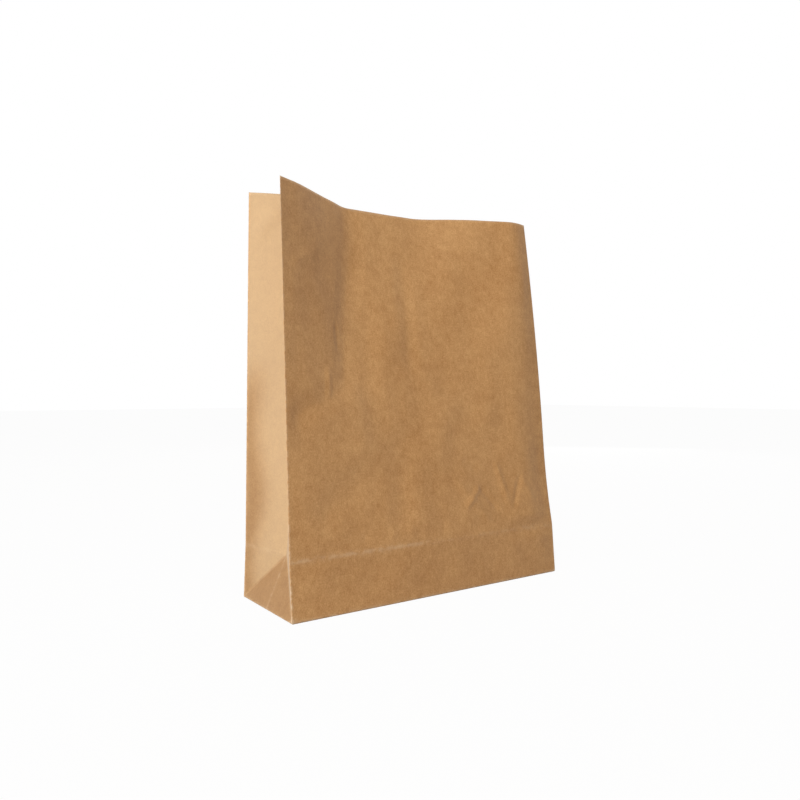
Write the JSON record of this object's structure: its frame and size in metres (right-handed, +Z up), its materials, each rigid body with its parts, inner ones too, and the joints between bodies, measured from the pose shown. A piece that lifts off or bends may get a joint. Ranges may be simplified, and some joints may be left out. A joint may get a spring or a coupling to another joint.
{
  "type": "block bottom paper bag",
  "caption": "Kraft paper carrier-size bag without handles: pasted block bottom, pushed-in side gussets and a plain-cut mouth pinched half shut.",
  "frame": {"origin": "middle of the rectangular base, on the surface that the bag stands on", "axes": "+X along the width, to the right of someone facing the front panel; +Y from the front panel to the back panel; +Z up, towards the mouth"},
  "size_m": [0.2504, 0.0803, 0.3001],
  "materials": {
    "kraft_paper": "uncoated brown kraft, matt, with fine fibres"
  },
  "bodies": {
    "root": {"paper_bag": "kraft_paper"}
  },
  "joints": []
}
